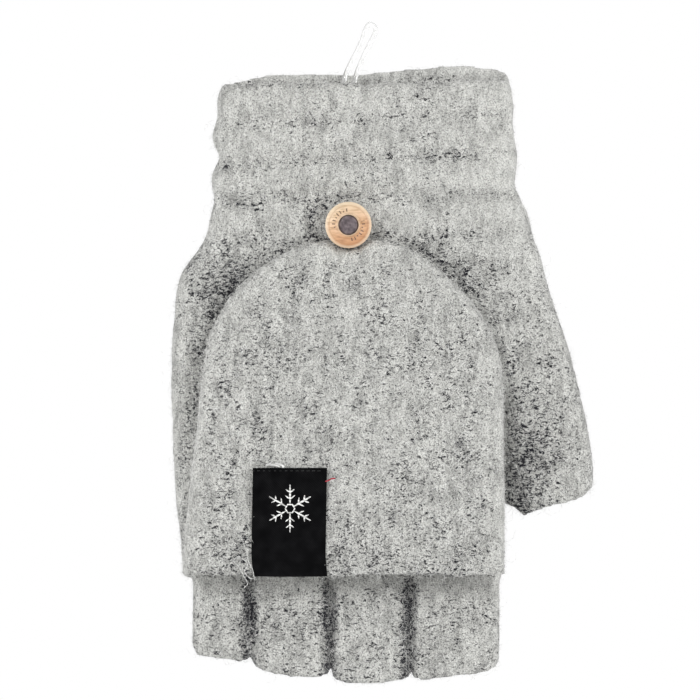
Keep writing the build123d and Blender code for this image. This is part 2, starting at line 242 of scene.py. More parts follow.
def surface_net(field, low, step):
    """Quads on the zero surface of a sampled field that is negative inside."""
    below = field < 0
    nx, ny, nz = field.shape
    count = np.zeros((nx - 1, ny - 1, nz - 1), np.int8)
    for i, j, k in np.ndindex(2, 2, 2):
        count += below[i:nx - 1 + i, j:ny - 1 + j, k:nz - 1 + k]
    active = (count > 0) & (count < 8)
    index = np.full(active.shape, -1, np.int64)
    cells = np.argwhere(active)
    index[active] = np.arange(len(cells))
    total = np.zeros((len(cells), 3))
    hits = np.zeros(len(cells))
    for axis in range(3):
        for side in np.ndindex(2, 2):
            a = cells + np.insert(side, axis, 0)
            b = a.copy()
            b[:, axis] += 1
            va = field[a[:, 0], a[:, 1], a[:, 2]]
            vb = field[b[:, 0], b[:, 1], b[:, 2]]
            cross = (va < 0) != (vb < 0)
            t = np.where(cross, va / np.where(cross, va - vb, 1), 0)
            place = a.astype(float)
            place[:, axis] += t
            total += place * cross[:, None]
            hits += cross
    verts = np.asarray(low) + np.asarray(step) * total / hits[:, None]
    quads = []
    for axis in range(3):
        u, v = (axis + 1) % 3, (axis + 2) % 3
        change = [slice(0, n) for n in field.shape]
        first, second = list(change), list(change)
        first[axis], second[axis] = slice(0, -1), slice(1, None)
        first[u] = second[u] = slice(1, -1)
        first[v] = second[v] = slice(1, -1)
        one, two = below[tuple(first)], below[tuple(second)]
        edges = np.argwhere(one != two)
        outwards = one[tuple(edges.T)]
        base = edges.copy()
        base[:, u] += 1
        base[:, v] += 1

        def at(du, dv):
            c = base.copy()
            c[:, u] += du
            c[:, v] += dv
            return index[c[:, 0], c[:, 1], c[:, 2]]

        q = np.stack([at(-1, -1), at(0, -1), at(0, 0), at(-1, 0)], 1)
        q[~outwards] = q[~outwards][:, ::-1]
        quads.append(q)
    return verts, np.vstack(quads)


def relax(verts, quads, rounds, share=0.5):
    """Moves each point part of the way to the middle of its neighbours, a few times."""
    edges = np.vstack([quads[:, [0, 1]], quads[:, [1, 2]], quads[:, [2, 3]], quads[:, [3, 0]]])
    a = np.concatenate([edges[:, 0], edges[:, 1]])
    b = np.concatenate([edges[:, 1], edges[:, 0]])
    number = np.bincount(a, minlength=len(verts)).astype(float)
    for _ in range(rounds):
        mean = np.stack([np.bincount(a, verts[b, c], len(verts)) for c in range(3)], 1) / number[:, None]
        verts = verts + share * (mean - verts)
    return verts


def vertex_normals(verts, quads):
    n = np.cross(verts[quads[:, 2]] - verts[quads[:, 0]], verts[quads[:, 3]] - verts[quads[:, 1]])
    total = np.stack([sum(np.bincount(quads[:, i], n[:, c], len(verts)) for i in range(4))
                      for c in range(3)], 1)
    return total / np.maximum(np.linalg.norm(total, axis=1), 1e-12)[:, None]


def make_mesh(name, verts, faces, material=None, values=None, smooth=True):
    """Makes an object from points in millimetres; values holds one number a point, by attribute name."""
    mesh = bpy.data.meshes.new(name)
    mesh.from_pydata((np.asarray(verts, float) * MM).tolist(), [],
                     faces.tolist() if isinstance(faces, np.ndarray) else faces)
    for key, numbers in (values or {}).items():
        mesh.attributes.new(key, "FLOAT", "POINT").data.foreach_set("value", np.asarray(numbers, np.float32))
    if smooth:
        mesh.polygons.foreach_set("use_smooth", np.ones(len(mesh.polygons), bool))
    if material:
        mesh.materials.append(material)
    mesh.update()
    obj = bpy.data.objects.new(name, mesh)
    bpy.context.scene.collection.objects.link(obj)
    return obj


# ---------------------------------------------------------------- shader groups
def group(name, inputs, outputs):
    """An empty shader node group with float, colour and vector sockets."""
    tree = bpy.data.node_groups.new(name, "ShaderNodeTree")
    kinds = {"v": "NodeSocketVector", "c": "NodeSocketColor", "f": "NodeSocketFloat"}
    for label, kind, value in inputs:
        socket = tree.interface.new_socket(name=label, in_out="INPUT", socket_type=kinds[kind])
        if value is not None:
            socket.default_value = value
    for label, kind in outputs:
        tree.interface.new_socket(name=label, in_out="OUTPUT", socket_type=kinds[kind])
    return tree, tree.nodes.new("NodeGroupInput"), tree.nodes.new("NodeGroupOutput")


def put(tree, kind, settings=None, **inputs):
    """Adds a node; an input is a plain value or another node's output, and i0 is the first input."""
    node = tree.nodes.new(kind)
    for key, value in (settings or {}).items():
        setattr(node, key, value)
    for key, value in inputs.items():
        by_number = key[0] == "i" and key[1:].isdigit()
        socket = node.inputs[int(key[1:]) if by_number else key.replace("_", " ")]
        if isinstance(value, bpy.types.NodeSocket):
            tree.links.new(value, socket)
        else:
            socket.default_value = value
    return node


def math_node(tree, operation, *values, clamp=False):
    node = put(tree, "ShaderNodeMath", {"operation": operation, "use_clamp": clamp},
               **{f"i{n}": v for n, v in enumerate(values)})
    return node.outputs[0]


def times(tree, a, b):
    return math_node(tree, "MULTIPLY", a, b)


def blend_colour(tree, share, a, b, mode="MIX"):
    node = put(tree, "ShaderNodeMix", {"data_type": "RGBA", "blend_type": mode, "clamp_result": True},
               i0=share, i6=a, i7=b)
    return node.outputs[2]


def ramp(tree, value, stops):
    """A colour ramp; stops are places from 0 to 1 with their colours."""
    node = put(tree, "ShaderNodeValToRGB", Fac=value)
    band = node.color_ramp
    while len(band.elements) < len(stops):
        band.elements.new(0.5)
    for element, (place, colour) in zip(band.elements, stops):
        element.position = place
        element.color = colour if len(colour) == 4 else (*colour, 1)
    return node


def make_heather():
    """Brushed heather wool: light ground, charcoal flecks, pale tufts and fine fibre grain; the fleck amount
    also dims the ground as painted shade and lifts it as painted light.
    """
    tree, inp, out = group("heather_wool", [
        ("Vector", "v", None),
        ("Ground", "c", (0.6, 0.6, 0.58, 1)),
        ("Charcoal", "c", (0.022, 0.022, 0.026, 1)),
        ("Fleck Amount", "f", 0.5),
        ("Fleck Scale", "f", 1400.0),
    ], [("Color", "c"), ("Height", "f")])
    spot = inp.outputs["Vector"]
    bend = put(tree, "ShaderNodeTexNoise", Vector=spot, Scale=420.0, Detail=2.0)
    shift = put(tree, "ShaderNodeVectorMath", {"operation": "MULTIPLY_ADD"},
                i0=bend.outputs["Color"], i1=(0.0012, 0.0012, 0.0012), i2=spot)
    squeezed = put(tree, "ShaderNodeMapping", Vector=shift.outputs[0], Scale=(0.55, 1.0, 1.0),
                   Rotation=(0.0, 0.45, 0.0))
    fleck = put(tree, "ShaderNodeTexNoise", Vector=squeezed.outputs[0], Scale=inp.outputs["Fleck Scale"],
                Detail=2.5, Roughness=0.62, Distortion=0.9)
    tall = put(tree, "ShaderNodeMapping", Vector=spot, Scale=(1.0, 1.0, 0.42))
    cluster = put(tree, "ShaderNodeTexNoise", Vector=tall.outputs[0], Scale=225.0, Detail=3.0, Roughness=0.6)
    edge = math_node(tree, "MULTIPLY_ADD", inp.outputs["Fleck Amount"], -0.17, 0.70)
    crowd = math_node(tree, "SUBTRACT", cluster.outputs[0], 0.5)
    edge = math_node(tree, "MULTIPLY_ADD", crowd, -0.34, edge)
    over = math_node(tree, "SUBTRACT", fleck.outputs[0], edge)
    mask = math_node(tree, "MULTIPLY", over, 19.0, clamp=True)
    tuft = put(tree, "ShaderNodeTexNoise", Vector=tall.outputs[0], Scale=330.0, Detail=3.0, Roughness=0.65,
               Distortion=0.4)
    tone = put(tree, "ShaderNodeTexNoise", Vector=shift.outputs[0], Scale=2300.0, Detail=3.0, Roughness=0.7)
    light = ramp(tree, tuft.outputs[0], [(0.30, (0.52,) * 3), (0.5, (0.84,) * 3), (0.66, (1, 1, 1))])
    grain = ramp(tree, tone.outputs[0], [(0.34, (0.2,) * 3), (0.5, (0.8,) * 3), (0.62, (1, 1, 1))])
    ground = blend_colour(tree, 1.0, inp.outputs["Ground"], light.outputs[0], "MULTIPLY")
    ground = blend_colour(tree, 1.0, ground, grain.outputs[0], "MULTIPLY")
    # Painted light: where the fleck amount is low, the ground is lifted back towards the plain ground colour.
    painted_lift = math_node(tree, "SUBTRACT", 0.45, inp.outputs["Fleck Amount"], clamp=True)
    ground = blend_colour(tree, math_node(tree, "MULTIPLY", painted_lift, 0.35), ground, inp.outputs["Ground"])
    # Painted shade: the more flecks a place has, as in the hollows, the dimmer its ground.
    painted_dim = math_node(tree, "MULTIPLY_ADD", inp.outputs["Fleck Amount"], -0.34, 1.27, clamp=True)
    dim = put(tree, "ShaderNodeCombineColor", i0=painted_dim, i1=painted_dim, i2=painted_dim)
    ground = blend_colour(tree, 1.0, ground, dim.outputs[0], "MULTIPLY")
    colour = blend_colour(tree, mask, ground, inp.outputs["Charcoal"])
    height = math_node(tree, "MULTIPLY_ADD", tone.outputs[0], 0.45, math_node(tree, "MULTIPLY", mask, -0.55))
    height = math_node(tree, "MULTIPLY_ADD", tuft.outputs[0], 1.2, height)
    tree.links.new(colour, out.inputs["Color"])
    tree.links.new(height, out.inputs["Height"])
    return tree


def make_stitches_relief():
    """Columns of knit stitches that show faintly through the brushed surface."""
    tree, inp, out = group("knit_wales", [("Vector", "v", None), ("Columns", "f", 560.0)], [("Height", "f")])
    bend = put(tree, "ShaderNodeTexNoise", Vector=inp.outputs["Vector"], Scale=90.0, Detail=2.0)
    shift = put(tree, "ShaderNodeVectorMath", {"operation": "MULTIPLY_ADD"},
                i0=bend.outputs["Color"], i1=(0.0022, 0.0022, 0.0022), i2=inp.outputs["Vector"])
    split = put(tree, "ShaderNodeSeparateXYZ", Vector=shift.outputs[0])
    column = times(tree, split.outputs[0], inp.outputs["Columns"])
    side = math_node(tree, "PINGPONG", column, 0.5)
    row = math_node(tree, "MULTIPLY_ADD", split.outputs[2], 720.0, times(tree, side, 1.6))
    rise = math_node(tree, "SINE", times(tree, row, FULL_TURN))
    groove = math_node(tree, "SINE", times(tree, side, FULL_TURN))
    total = math_node(tree, "MULTIPLY_ADD", rise, 0.35, groove)
    tree.links.new(total, out.inputs["Height"])
    return tree


HEATHER = make_heather()
WALES = make_stitches_relief()


def new_material(name, roughness=0.8, colour=(0.5, 0.5, 0.5)):
    material = bpy.data.materials.new(name)
    material.use_nodes = True
    surface = material.node_tree.nodes["Principled BSDF"]
    surface.inputs["Roughness"].default_value = roughness
    surface.inputs["Base Color"].default_value = (*colour, 1)
    material.diffuse_color = (*colour, 1)
    return material, material.node_tree, surface


def bump(tree, surface, height, strength, distance):
    """Relief in the shading; distance is its depth in metres."""
    node = put(tree, "ShaderNodeBump", Height=height, Strength=strength, Distance=distance)
    tree.links.new(node.outputs[0], surface.inputs["Normal"])


def wool_material(name, ground, wales=0.5, relief=0.9):
    """The felted knit; a point attribute sets how many charcoal flecks a place has, and the painted shade and
    painted light of its ground.
    """
    material, tree, surface = new_material(name, 0.95, ground)
    place = put(tree, "ShaderNodeTexCoord").outputs["Object"]
    flecks_and_shading = put(tree, "ShaderNodeAttribute", {"attribute_name": "flecks_and_shading"})
    heather = put(tree, "ShaderNodeGroup", {"node_tree": HEATHER}, Vector=place, Ground=(*ground, 1),
                  Fleck_Amount=flecks_and_shading.outputs["Fac"])
    knit = put(tree, "ShaderNodeGroup", {"node_tree": WALES}, Vector=place)
    tree.links.new(heather.outputs["Color"], surface.inputs["Base Color"])
    height = math_node(tree, "MULTIPLY_ADD", knit.outputs["Height"], wales * 0.25, heather.outputs["Height"])
    bump(tree, surface, height, relief, 0.0006)
    surface.inputs["Sheen Weight"].default_value = 0.55
    surface.inputs["Sheen Roughness"].default_value = 0.42
    surface.inputs["Specular IOR Level"].default_value = 0.12
    return material


def mottled(name, roughness, colour, scale, detail, stops, relief=None):
    """A material whose colour is mottled by noise; relief is its bump's strength and depth."""
    material, tree, surface = new_material(name, roughness, colour)
    place = put(tree, "ShaderNodeTexCoord").outputs["Object"]
    noise = put(tree, "ShaderNodeTexNoise", Vector=place, Scale=scale, Detail=detail)
    tint = ramp(tree, noise.outputs[0], stops)
    tree.links.new(tint.outputs[0], surface.inputs["Base Color"])
    if relief:
        bump(tree, surface, noise.outputs[0], *relief)
    return material, surface


def shades(colour, dark, pale=1.15):
    """A colour with a darker and a paler one beside it."""
    return tuple(c * dark for c in colour), colour, tuple(min(1, c * pale) for c in colour)


def fibre_material(name, colour):
    stops = list(zip((0.36, 0.5, 0.66), shades(colour, 0.45)))
    material, surface = mottled(name, 0.85, colour, 850.0, 2.0, stops)
    surface.inputs["Specular IOR Level"].default_value = 0.15
    return material


WOOL = wool_material("heather_wool", (0.80, 0.80, 0.765))
# The lining's ground is paler than the wool's: painted light that lifts the shade inside the mouths.
LIGHTENED_LINING = wool_material("heather_lining_painted_light", (0.86, 0.86, 0.825), 0.9, 0.7)
PALE_FIBRE = fibre_material("pale_fibre", (0.90, 0.90, 0.87))
DARK_FIBRE = fibre_material("charcoal_fibre", (0.03, 0.03, 0.034))


# ---------------------------------------------------------------- the mitten's outlines, in millimetres
LEFT_SIDE = [(-46.2, 16), (-46.0, 0), (-46.2, -3), (-47.8, -7), (-47.5, -13), (-48.6, -15.5), (-49.5, -19),
             (-48.6, -22.5), (-46.5, -25.6), (-48.3, -28.5), (-49.8, -32), (-49.3, -35.5), (-48.4, -39),
             (-49.6, -44), (-50.8, -50), (-53.0, -55), (-56.6, -59), (-59.5, -62.7), (-60.9, -68.5),
             (-61.6, -78), (-62.2, -88), (-62.5, -102), (-61.9, -120), (-61.1, -136), (-59.2, -149),
             (-58.6, -161)]
RIGHT_SIDE = [(46.4, 16), (46.5, -1), (47.5, -4.5), (48.1, -9), (47.7, -15), (48.9, -22), (49.2, -27),
              (48.2, -34), (49.8, -38.5), (51.6, -44), (51.5, -50), (50.2, -60), (48.2, -75), (46.4, -90),
              (45.3, -100), (44.9, -112), (44.6, -136), (44.3, -161)]
THUMB_RIGHT = [(47.0, -40), (51.8, -46.5), (53.2, -49.5), (56.0, -55), (58.0, -62.7), (60.0, -70.4),
               (63.4, -80), (65.7, -87.7), (68.0, -95.4), (70.2, -105), (71.6, -111), (73.2, -121),
               (73.8, -130), (74.2, -152)]
THUMB_LEFT = [(44.0, -152), (43.7, -138), (43.5, -122), (43.4, -110), (43.0, -100), (41.0, -82), (38.0, -60)]
THUMB_END = ([43, 47.4, 51.2, 56, 60.5, 64, 68, 71.4, 74],
             [-137.4, -138.2, -141.4, -139.4, -137.9, -137.6, -136.4, -134.4, -131.5])
FINGERS = {  # left side, right side, and the heights along its end
    "little": (-54.7, -37.2, ([-57, -54, -47, -40, -37], [-184.0, -186.6, -187.4, -188.4, -187.8])),
    "ring": (-35.9, -11.6, ([-36, -32, -24, -16, -11], [-190.0, -191.8, -193.2, -193.6, -192.9])),
    "middle": (-10.3, 14.0, ([-11, -6, 2, 9, 14], [-194.0, -195.4, -195.6, -194.9, -194.2])),
    "index": (15.6, 42.7, ([15, 20, 30, 38, 44], [-194.2, -194.4, -193.0, -191.9, -190.2])),
}
CUFF_TOP_FRONT = ([-50, -44, -30, -15, 0, 15, 30, 42, 50],
                  [-3.6, -2.4, -1.3, -1.5, -2.0, -1.6, -0.8, -0.6, -1.4])
CUFF_TOP_BACK = ([-50, -44, -32, -20, -5, 8, 20, 32, 42, 50],
                 [-3.0, -1.2, 1.2, 1.9, 1.4, 2.6, 3.9, 4.4, 3.4, 1.0])
CAP_EDGE = [(-58.9, -172), (-58.4, -160), (-58.0, -151.7), (-57.2, -142), (-56.2, -132), (-55.1, -122),
            (-53.9, -112), (-52.8, -100), (-51.4, -88), (-48.7, -79), (-44.3, -71.6), (-38.6, -65.2),
            (-32.4, -60.2), (-26.0, -56.4), (-19.6, -53.7), (-13.0, -52.4), (-5.0, -52.0), (3.5, -52.3),
            (11.0, -53.5), (17.8, -56.8), (25.0, -62.4), (31.8, -68.6), (37.2, -75.4), (41.2, -82.5),
            (43.4, -89.5), (44.4, -97), (44.5, -112), (44.5, -136), (44.6, -160), (44.8, -172)]


HAND_LINE = np.vstack([smooth_outline(LEFT_SIDE), smooth_outline(RIGHT_SIDE)[::-1]])
THUMB_LINE = np.vstack([smooth_outline(THUMB_RIGHT), smooth_outline(THUMB_LEFT)])
CAP_LINE = smooth_outline(CAP_EDGE)
ROLL_PITCH, ROLL_DEPTH = 12.7, 1.25
CUFF_FOOT = -52  # the height where the cuff's rolls fade out
THUMB_CUT = -104.5  # the thumb's skin is a piece of its own below this height
THUMB_HALF, THUMB_Y = 5.9, 1.3  # half the thumb's thickness, and how far it leans to the palm
FINGER_ROOT, FINGER_HALF = -157, 4.5
MOUTH_EDGE = 1.6  # how round the rim of an open end is


def roll_phase(x, z):
    """Where a place on the cuff lies in its horizontal rolls, as an angle."""
    return 2 * np.pi * (z - 0.035 * x + 7.2) / ROLL_PITCH


def glove_field(x, y, z, thumb_only=False):
    """The glove's skin: the hand with its fingers, blended into the thumb, less the room inside."""
    flat_x, flat_z = x[:, 0, :], z[:, 0, :]
    hand_flat = outline_distance(flat_x, flat_z, HAND_LINE)[:, None, :]
    thumb_flat = outline_distance(flat_x, flat_z, THUMB_LINE)[:, None, :]
    on_cuff = np.clip((z - CUFF_FOOT) / 8, 0, 1)
    half = HAND_HALF - ROLL_DEPTH * on_cuff * (0.5 - 0.5 * np.cos(roll_phase(x, z))) ** 1.4
    half = half - 1.3 * np.clip(-(z + 146) / 15, 0, 1)
    near = 5.5 * np.clip((z - THUMB_CUT) / 9, 0.06, 1)
    thumb_half = THUMB_HALF - 0.5 * np.clip(-(z + 100) / 38, 0, 1)
    thumb_y = y - THUMB_Y * np.clip(-(z + 60) / 44, 0, 1)

    def body(inset):
        thumb = tube(thumb_flat, thumb_y, thumb_half, inset)
        if thumb_only:
            return thumb
        hand = tube(hand_flat, y, half, inset)
        total = soft_min(hand, np.where(z > THUMB_CUT, thumb, 50), near)
        for x0, x1, _ in FINGERS.values():
            middle, wide = (x0 + x1) / 2, (x1 - x0) / 2
            side = np.abs(x - middle) - wide - 0.80 + 0.004 * np.clip(KNUCKLES - z, 0, 40)
            side = np.maximum(side, z - FINGER_ROOT)
            finger_half = FINGER_HALF + 0.25 * np.clip((z + 170) / 12, 0, 1)
            total = soft_min(total, tube(side, y, finger_half, inset, 0.96), 0.25)
        return total

    outer, inner = body(0.0), body(WALL)
    if thumb_only:
        outer = soft_max(outer, np.interp(x, *THUMB_END) - z, MOUTH_EDGE)
        return soft_max(outer, -inner, 1.0)
    front, back = np.interp(x, *CUFF_TOP_FRONT), np.interp(x, *CUFF_TOP_BACK)
    turn = np.clip((y + 3) / 6, 0, 1)
    turn = turn * turn * (3 - 2 * turn)
    outer = soft_max(outer, z - (front + (back - front) * turn), MOUTH_EDGE)
    for x0, x1, (ends_x, ends_z) in FINGERS.values():
        within = (x > x0 - 0.75) & (x < x1 + 0.75) & (z < KNUCKLES - 6)
        end = np.interp(x, ends_x, ends_z) + 0.7 * (np.abs(2 * x - x0 - x1) / (x1 - x0)) ** 14
        outer = np.where(within, soft_max(outer, end - z, 2.2), outer)
    return soft_max(outer, -inner, 1.0)


def cap_front_y(z):
    """The plane of the cap's front layer at each height."""
    top, hem = cap_high[2], cap_low[2]
    share = np.clip((top - z) / (top - hem), 0, 1)
    full = cap_low[1] + 0.35
    tip = CAP_BACK - 5.4
    return tip + (full - tip) * np.sin(np.clip(share * 1.42, 0, np.pi / 2)) ** 0.9


def under_button(x, z):
    """How far a place lies inside the notch that the cap's edge leaves for the button."""
    return BUTTON_RADIUS + 0.35 - np.hypot(x - BUTTON_X, z - BUTTON_Z)


def cap_field(x, y, z):
    """The cap's skin: a flat pouch, open at its hem."""
    flat = outline_distance(x[:, 0, :], z[:, 0, :], CAP_LINE)[:, None, :]
    flat = soft_max(flat, under_button(x, z), 1.4)
    front = cap_front_y(z)
    middle, half = (CAP_BACK + front) / 2, (CAP_BACK - front) / 2

    def pouch(inset, side_inset):
        thick = half - inset
        radius = np.minimum(thick * 0.93, 4.6)
        return rounded(flat + side_inset + radius, np.abs(y - middle) - (thick - radius), radius)

    hem = KNUCKLES + 0.5 + 0.35 * np.sin(x / 7.0) + 0.25 * np.sin(x / 2.9 + 1)
    outer = soft_max(pouch(0.0, 0.0), hem - z, 1.5)
    return soft_max(outer, -pouch(0.8 * WALL, 0.5 * WALL), 0.9)


def sample(low, high, step):
    """The x, y and z of a grid of points between two corners."""
    axes = [np.arange(a, b + step, step) for a, b in zip(low, high)]
    return np.meshgrid(*axes, indexing="ij")


def felt(verts, quads, amount=0.2):
    """Smooths the net and gives the surface the soft lumps of brushed knit."""
    verts = relax(verts, quads, 2)
    normals = vertex_normals(verts, quads)
    rise = 0.55 * lumps(verts, 2.4, 3) + 0.7 * lumps(verts, 5.5, 5) + 0.35 * lumps(verts, 11, 8)
    return verts + normals * (amount * rise)[:, None], normals


def is_inside(verts, normals, middle_y):
    """True for points of the inner wall, whose normals look towards the middle of the tube."""
    return (verts[:, 1] - middle_y) * normals[:, 1] < -0.05


# Round patches with more flecks, or fewer: amount, middle x and z, half width, half height. Those by the cap
# are painted shadow beside its shoulders and left of the button, those on the hand are painted light that
# lifts shaded places, and those on the cap add or take away flecks.
PAINTED_SHADOW_BY_CAP = ((0.6, -47, -69, 9, 10), (0.45, 34, -60, 11, 10), (0.9, -15, -44.5, 4.5, 4))
PAINTED_LIGHT_ON_HAND = ((-0.5, 66, -133, 8, 8), (-0.35, 14, -51, 7, 6), (-0.3, -60, -104, 4, 9))
PATCHES_ON_CAP = ((0.3, -42, -147, 7, 11), (-0.3, 35, -124, 6, 7), (-0.25, -55, -144, 5, 9))


def patches(x, z, table):
    return sum(amount * np.exp(-((x - middle_x) / wide) ** 2 - ((z - middle_z) / tall) ** 2)
               for amount, middle_x, middle_z, wide, tall in table)


def flecks_and_painted_shade(verts):
    """How many charcoal flecks each place has: rows along the cuff's folds, painted shade as more flecks in
    every hollow and beside the cap, and painted light as fewer flecks in some shaded places.
    """
    x, y, z = verts.T
    facing = np.clip(0.7 - y / 5, 0, 1)  # only the back of the hand, where the cap lies
    # The rows gather flecks in the valleys of the cuff's rolls: dark flecks there, and partly painted shade
    # in those hollows.
    rows = 0.5 + 0.5 * np.cos(roll_phase(x, z) + np.pi)
    amount = 0.57 + 0.16 * lumps(verts, 17, 21) + 0.12 * lumps(verts, 7, 22)
    amount += np.where(z > CUFF_FOOT, 0.50 * rows ** 4 - 0.26, 0.14)
    fingers = list(FINGERS.values())
    gaps = [(a[1] + b[0]) / 2 for a, b in zip(fingers, fingers[1:])]
    # Painted shade in the gaps between the fingers, set a little to the left, on the flank the shade falls
    # on.
    between = sum(np.clip(1.4 - np.abs(x - gap + 0.7) / 2.6, 0, 1) for gap in gaps) * (z < KNUCKLES + 0.5)
    # Painted shadow in the crease beside the cap on the thumb side, and in a band around the cap's outline,
    # less of it low on the right.
    thumb_crease_shadow = np.clip((x - 43) / 4, 0, 1) * np.clip((68 - x) / 12, 0, 1) * np.clip(-(z + 98) / 20, 0, 1)
    cap_outline_shadow = np.clip(1 - np.abs(outline_distance(x, z, CAP_LINE) - 1.5) / 5.0, 0, 1) * (z > -150)
    cap_outline_shadow *= 1 - 0.7 * np.clip((x - 30) / 6, 0, 1) * np.clip(-(z + 86) / 10, 0, 1)
    shadow = 0.66 * thumb_crease_shadow + 0.36 * cap_outline_shadow + patches(x, z, PAINTED_SHADOW_BY_CAP)
    # Painted light: fewer flecks, so a paler ground, below the hem, at the left edge, on the right side and
    # at the cuff's mouth, which lifts those shaded places.
    hem_shadow_lift = np.exp(-((z + 160) / 5.0) ** 2)
    left_edge_lift = np.clip((-x - 50) / 9, 0, 1) * (z < -62) * (z > -162)
    right_side_lift = np.clip((x - 26) / 16, 0, 1) * np.clip((z + 92) / 14, 0, 1)
    cuff_mouth_lift = np.clip((z + 1) / 2, 0, 1)
    amount += shadow * facing + 0.9 * between + patches(x, z, PAINTED_LIGHT_ON_HAND)
    return amount - 0.45 * hem_shadow_lift - 0.16 * left_edge_lift - 0.24 * right_side_lift - 0.35 * cuff_mouth_lift


def skin_object(name, verts, quads, inside, values):
    """A skin with the wool outside and the lining inside."""
    obj = make_mesh(name, verts, quads, WOOL, values)
    obj.data.materials.append(LIGHTENED_LINING)
    obj.data.polygons.foreach_set("material_index", (inside[quads].mean(1) > 0.5).astype(np.int32))
    return obj


HAND_GRID = ((-66, -9, -199), (77, 10, 8))
THUMB_GRID = ((39, -9, -145), (78, 10, -100))
GRID_STEP = 1.0
CAP_GRID = ((-62, -25, -164), (48, -5.5, -49))
CAP_GRID_STEP = 0.95


def glove_net(grid, thumb_only):
    """The points and quads of the hand or the thumb, and which points lie on the ring where they meet."""
    verts, quads = surface_net(glove_field(*sample(*grid, GRID_STEP), thumb_only), grid[0], GRID_STEP)
    ring_z = THUMB_CUT - 0.5
    ring = (verts[:, 2] >= ring_z) & (verts[:, 2] < ring_z + 1) & (verts[:, 0] > (30 if thumb_only else 45.3))
    if thumb_only:
        keep = (verts[quads][:, :, 2] < ring_z + 1).all(1)
    else:
        one, two = verts[quads[:, 2]] - verts[quads[:, 0]], verts[quads[:, 3]] - verts[quads[:, 1]]
        keep = ~(ring[quads].all(1) & (np.abs(np.cross(one, two)[:, 2]) > 0.8))
    used = np.unique(quads[keep])
    renumber = np.full(len(verts), -1)
    renumber[used] = np.arange(len(used))
    return verts[used], renumber[quads[keep]], ring[used]


def make_glove_skin():
    """The hand's skin and the thumb's skin, which meet point for point along one ring."""
    pieces, thumb_ring = {}, None
    for name, grid in (("thumb_skin", THUMB_GRID), ("glove_skin", HAND_GRID)):
        is_thumb = name == "thumb_skin"
        verts, quads, ring = glove_net(grid, is_thumb)
        verts, normals = felt(verts, quads, 0.24)
        if is_thumb:
            verts[ring, 2] = THUMB_CUT
            thumb_ring = verts[ring]
        else:
            for i in np.where(ring)[0]:
                away = np.hypot(thumb_ring[:, 0] - verts[i, 0], thumb_ring[:, 1] - verts[i, 1])
                if away.min() < 1.3:
                    verts[i] = thumb_ring[away.argmin()]
        inside = is_inside(verts, normals, THUMB_Y if is_thumb else 0)
        values = {"flecks_and_shading": flecks_and_painted_shade(verts), "fuzz": np.where(inside, 0.5, 1.0)}
        pieces[name] = skin_object(name, verts, quads, inside, values)
    return pieces["glove_skin"], pieces["thumb_skin"]


def make_cap_skin():
    """The cap's skin: fewer flecks along its rim, partly its paler felted edge and partly painted highlight,
    and next to no fluff inside or under the label.
    """
    field = cap_field(*sample(*CAP_GRID, CAP_GRID_STEP))
    verts, quads = surface_net(field, CAP_GRID[0], CAP_GRID_STEP)
    verts, normals = felt(verts, quads, 0.15)
    x, y, z = verts.T
    edge = np.maximum(outline_distance(x, z, CAP_LINE), under_button(x, z))
    flecks_and_shading = 0.66 + 0.14 * lumps(verts, 15, 31) + 0.1 * lumps(verts, 6, 32)
    # Fewer flecks along the rim: the paler felted edge, and partly a painted highlight on the rolled edge.
    reach = 5.2 + 1.6 * lumps(verts, 9, 33)
    flecks_and_shading -= (0.48 + 0.16 * lumps(verts, 5, 34)) * np.clip((edge + reach) / 4.5, 0, 1)
    flecks_and_shading += patches(x, z, PATCHES_ON_CAP) + 0.2 * np.clip(-(z + 141) / 10, 0, 1) * (x < 32)
    inside = is_inside(verts, normals, (CAP_BACK + cap_front_y(z)) / 2)
    fuzz = np.where(inside, 0.12, 1.0)
    fuzz[(x > label_low[0] - 0.3) & (x < label_high[0] + 0.3) & (z < label_high[2] + 0.2) & (y < -15)] = 0.0
    return skin_object("cap_skin", verts, quads, inside, {"flecks_and_shading": flecks_and_shading, "fuzz": fuzz})


glove_skin, thumb_skin = make_glove_skin()
cap_skin = make_cap_skin()


